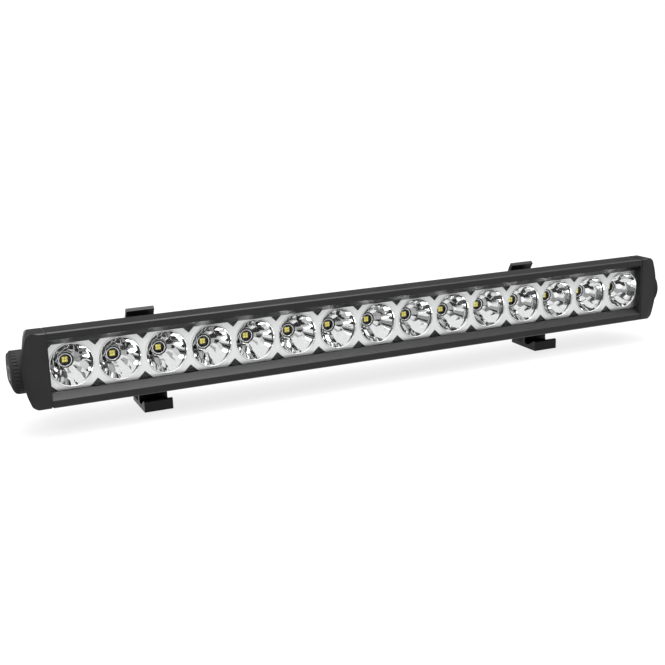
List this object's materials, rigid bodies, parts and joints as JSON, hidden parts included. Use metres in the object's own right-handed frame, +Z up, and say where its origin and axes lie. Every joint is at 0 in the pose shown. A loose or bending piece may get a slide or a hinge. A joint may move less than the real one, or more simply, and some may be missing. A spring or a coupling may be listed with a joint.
{
  "type": "led light bar",
  "caption": "Slim single-row LED light bar with mirrored reflector cells, curved end caps with side hubs and two sliding, tilting clamp feet.",
  "frame": {"origin": "centre of the object's box in X and Y, on the plane of the feet's undersides", "axes": "+X along the bar, +Y towards its back, so the light leaves towards -Y, +Z up"},
  "size_m": [0.555, 0.085, 0.0758],
  "materials": {
    "housing_paint": "black fine-texture powder coat",
    "bracket_paint": "black satin powder coat",
    "clear_lens": "clear polished",
    "black_rubber": "matt",
    "mirror_chrome": "polished",
    "black_plastic": "matt moulded",
    "led_frame": "black moulded frame",
    "led_phosphor": "yellow phosphor",
    "white_board": "white solder mask",
    "green_board": "green solder mask",
    "thermal_pad_grey": "soft pad",
    "plated_steel": "zinc plated",
    "insert_steel": "blackened steel",
    "wire_red": "wire jacket",
    "wire_black": "wire jacket",
    "ferrite": "sintered ferrite",
    "capacitor_sleeve": "shrink sleeve"
  },
  "bodies": {
    "light_bar": {"housing": "housing_paint", "front_lens": "clear_lens", "lens_seal": "black_rubber", "reflector_left": "mirror_chrome", "reflector_centre": "mirror_chrome", "reflector_right": "mirror_chrome", "reflector_mask": "black_plastic", "led_spacers": "black_plastic", "led_packages": "led_frame", "led_dies": "led_phosphor", "led_board": "white_board", "board_screws": "plated_steel", "thermal_pad": "thermal_pad_grey", "led_lead_wires": "wire_red", "driver_board": "green_board", "driver_inductors": "ferrite", "driver_capacitors": "capacitor_sleeve", "driver_transistors": "black_plastic", "supply_wires": "wire_black", "left_end_gasket": "black_rubber", "right_end_gasket": "black_rubber", "left_end_cap": "housing_paint", "right_end_cap": "housing_paint", "left_cap_screws": "plated_steel", "right_cap_screws": "plated_steel", "left_hub_insert": "insert_steel", "right_hub_insert": "insert_steel", "vent_ring": "black_rubber", "vent_plug": "black_plastic", "gland_body": "black_plastic", "gland_ring": "black_rubber", "gland_seal": "black_rubber", "gland_nut": "black_plastic"},
    "left_clamp": {"left_t_bolt": "plated_steel", "left_saddle": "bracket_paint", "left_curved_washer": "bracket_paint", "left_flat_washer": "plated_steel", "left_spring_washer": "plated_steel", "left_clamp_nut": "plated_steel"},
    "left_foot": {"left_bracket": "bracket_paint"},
    "right_clamp": {"right_t_bolt": "plated_steel", "right_saddle": "bracket_paint", "right_curved_washer": "bracket_paint", "right_flat_washer": "plated_steel", "right_spring_washer": "plated_steel", "right_clamp_nut": "plated_steel"},
    "right_foot": {"right_bracket": "bracket_paint"}
  },
  "joints": [
    {"name": "left_slide", "type": "slide", "parent": "light_bar", "child": "left_clamp", "axis": [1, 0, 0], "range_m": [-0.035, 0.12]},
    {"name": "right_slide", "type": "slide", "parent": "light_bar", "child": "right_clamp", "axis": [1, 0, 0], "range_m": [-0.12, 0.035]},
    {"name": "left_tilt", "type": "hinge", "parent": "left_clamp", "child": "left_foot", "pos_m": [-0.17264, -0.0065, 0.0488], "axis": [1, 0, 0], "range_deg": [-20, 20]},
    {"name": "right_tilt", "type": "hinge", "parent": "right_clamp", "child": "right_foot", "pos_m": [0.17264, -0.0065, 0.0488], "axis": [1, 0, 0], "range_deg": [-20, 20]}
  ],
  "couplings": [
    {"joint": "right_tilt", "follows": "left_tilt", "ratio": 1}
  ]
}
